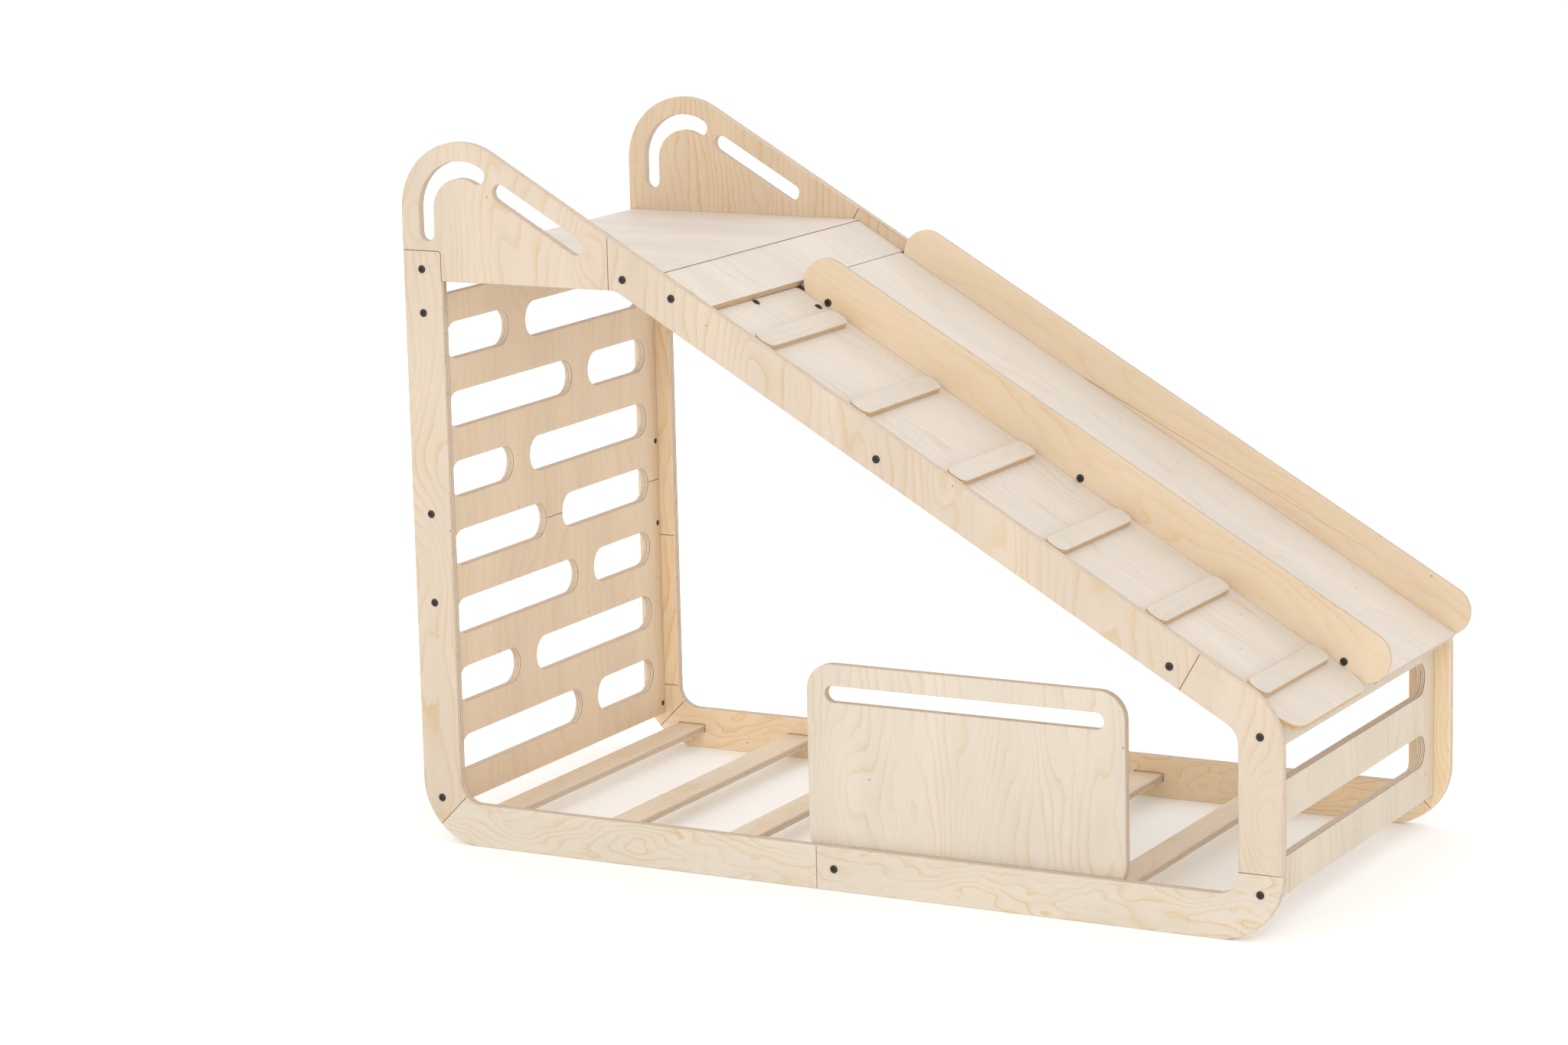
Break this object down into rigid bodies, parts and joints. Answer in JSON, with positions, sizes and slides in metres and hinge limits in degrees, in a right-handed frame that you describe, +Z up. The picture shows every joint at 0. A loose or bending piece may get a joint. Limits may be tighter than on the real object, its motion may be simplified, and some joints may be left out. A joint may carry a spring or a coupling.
{
  "type": "toddler slide bed frame",
  "caption": "Plywood toddler bed and play frame with a slide, a runged climbing ramp, a slotted climbing wall, a top deck and a bed guard.",
  "frame": {"origin": "centre of the whole part's box in X and Y, on the floor under the side frames", "axes": "+X runs along the bed from the climbing wall to the low end of the slide, +Y runs across from the ramp side to the slide side, +Z up"},
  "size_m": [1.7446, 0.8386, 1.3047],
  "materials": {
    "near_tall_post": "birch plywood, sanded, clear satin lacquer, edges left showing the plies",
    "near_post_splice": "birch plywood, sanded, clear satin lacquer, edges left showing the plies",
    "near_head_panel": "birch plywood, sanded, clear satin lacquer, edges left showing the plies",
    "near_slope_beam": "birch plywood, sanded, clear satin lacquer, edges left showing the plies",
    "near_short_post": "birch plywood, sanded, clear satin lacquer, edges left showing the plies",
    "near_bottom_rail_front": "birch plywood, sanded, clear satin lacquer, edges left showing the plies",
    "near_bottom_rail_rear": "birch plywood, sanded, clear satin lacquer, edges left showing the plies",
    "far_tall_post": "birch plywood, sanded, clear satin lacquer, edges left showing the plies",
    "far_post_splice": "birch plywood, sanded, clear satin lacquer, edges left showing the plies",
    "far_head_panel": "birch plywood, sanded, clear satin lacquer, edges left showing the plies",
    "far_slope_beam": "birch plywood, sanded, clear satin lacquer, edges left showing the plies",
    "far_short_post": "birch plywood, sanded, clear satin lacquer, edges left showing the plies",
    "far_bottom_rail_front": "birch plywood, sanded, clear satin lacquer, edges left showing the plies",
    "far_bottom_rail_rear": "birch plywood, sanded, clear satin lacquer, edges left showing the plies",
    "climbing_wall_lower": "birch plywood, sanded, clear satin lacquer, edges left showing the plies",
    "climbing_wall_upper": "birch plywood, sanded, clear satin lacquer, edges left showing the plies",
    "end_panel": "birch plywood, sanded, clear satin lacquer, edges left showing the plies",
    "deck_board": "birch plywood, sanded, clear satin lacquer, edges left showing the plies",
    "incline_board": "birch plywood, sanded, clear satin lacquer, edges left showing the plies",
    "ramp_board": "birch plywood, sanded, clear satin lacquer, edges left showing the plies",
    "slide_bed": "birch plywood, sanded, clear satin lacquer, edges left showing the plies",
    "slide_rail_near": "birch plywood, sanded, clear satin lacquer, edges left showing the plies",
    "slide_rail_far": "birch plywood, sanded, clear satin lacquer, edges left showing the plies",
    "head_batten": "birch plywood, sanded, clear satin lacquer, edges left showing the plies",
    "cross_batten_upper": "birch plywood, sanded, clear satin lacquer, edges left showing the plies",
    "cross_batten_lower": "birch plywood, sanded, clear satin lacquer, edges left showing the plies",
    "bed_guard": "birch plywood, sanded, clear satin lacquer, edges left showing the plies",
    "bed_slat_1": "birch plywood, sanded, clear satin lacquer, edges left showing the plies",
    "bed_slat_2": "birch plywood, sanded, clear satin lacquer, edges left showing the plies",
    "bed_slat_3": "birch plywood, sanded, clear satin lacquer, edges left showing the plies",
    "bed_slat_4": "birch plywood, sanded, clear satin lacquer, edges left showing the plies",
    "bed_slat_5": "birch plywood, sanded, clear satin lacquer, edges left showing the plies",
    "bed_slat_6": "birch plywood, sanded, clear satin lacquer, edges left showing the plies",
    "rung_1": "birch plywood, sanded, clear satin lacquer, edges left showing the plies",
    "rung_2": "birch plywood, sanded, clear satin lacquer, edges left showing the plies",
    "rung_3": "birch plywood, sanded, clear satin lacquer, edges left showing the plies",
    "rung_4": "birch plywood, sanded, clear satin lacquer, edges left showing the plies",
    "rung_5": "birch plywood, sanded, clear satin lacquer, edges left showing the plies",
    "rung_6": "birch plywood, sanded, clear satin lacquer, edges left showing the plies",
    "bolt_post_deck": "blackened steel",
    "bolt_post_wall_a": "blackened steel",
    "bolt_post_wall_b": "blackened steel",
    "bolt_post_wall_c": "blackened steel",
    "bolt_post_wall_d": "blackened steel",
    "bolt_beam_deck": "blackened steel",
    "bolt_beam_incline": "blackened steel",
    "bolt_beam_batten_a": "blackened steel",
    "bolt_beam_batten_b": "blackened steel",
    "bolt_foot_end_a": "blackened steel",
    "bolt_foot_end_b": "blackened steel",
    "bolt_rail_slat": "blackened steel",
    "bolt_slide_1": "blackened steel",
    "bolt_slide_2": "blackened steel",
    "bolt_slide_3": "blackened steel",
    "bolt_ramp_1": "blackened steel",
    "bolt_ramp_2": "blackened steel",
    "bolt_ramp_3": "blackened steel"
  },
  "bodies": {
    "root": {"near_tall_post": "near_tall_post", "near_post_splice": "near_post_splice", "near_head_panel": "near_head_panel", "near_slope_beam": "near_slope_beam", "near_short_post": "near_short_post", "near_bottom_rail_front": "near_bottom_rail_front", "near_bottom_rail_rear": "near_bottom_rail_rear", "far_tall_post": "far_tall_post", "far_post_splice": "far_post_splice", "far_head_panel": "far_head_panel", "far_slope_beam": "far_slope_beam", "far_short_post": "far_short_post", "far_bottom_rail_front": "far_bottom_rail_front", "far_bottom_rail_rear": "far_bottom_rail_rear", "climbing_wall_lower": "climbing_wall_lower", "climbing_wall_upper": "climbing_wall_upper", "end_panel": "end_panel", "deck_board": "deck_board", "incline_board": "incline_board", "ramp_board": "ramp_board", "slide_bed": "slide_bed", "slide_rail_near": "slide_rail_near", "slide_rail_far": "slide_rail_far", "head_batten": "head_batten", "cross_batten_upper": "cross_batten_upper", "cross_batten_lower": "cross_batten_lower", "bed_guard": "bed_guard", "bed_slat_1": "bed_slat_1", "bed_slat_2": "bed_slat_2", "bed_slat_3": "bed_slat_3", "bed_slat_4": "bed_slat_4", "bed_slat_5": "bed_slat_5", "bed_slat_6": "bed_slat_6", "rung_1": "rung_1", "rung_2": "rung_2", "rung_3": "rung_3", "rung_4": "rung_4", "rung_5": "rung_5", "rung_6": "rung_6", "bolt_post_deck": "bolt_post_deck", "bolt_post_wall_a": "bolt_post_wall_a", "bolt_post_wall_b": "bolt_post_wall_b", "bolt_post_wall_c": "bolt_post_wall_c", "bolt_post_wall_d": "bolt_post_wall_d", "bolt_beam_deck": "bolt_beam_deck", "bolt_beam_incline": "bolt_beam_incline", "bolt_beam_batten_a": "bolt_beam_batten_a", "bolt_beam_batten_b": "bolt_beam_batten_b", "bolt_foot_end_a": "bolt_foot_end_a", "bolt_foot_end_b": "bolt_foot_end_b", "bolt_rail_slat": "bolt_rail_slat", "bolt_slide_1": "bolt_slide_1", "bolt_slide_2": "bolt_slide_2", "bolt_slide_3": "bolt_slide_3", "bolt_ramp_1": "bolt_ramp_1", "bolt_ramp_2": "bolt_ramp_2", "bolt_ramp_3": "bolt_ramp_3"}
  },
  "joints": []
}
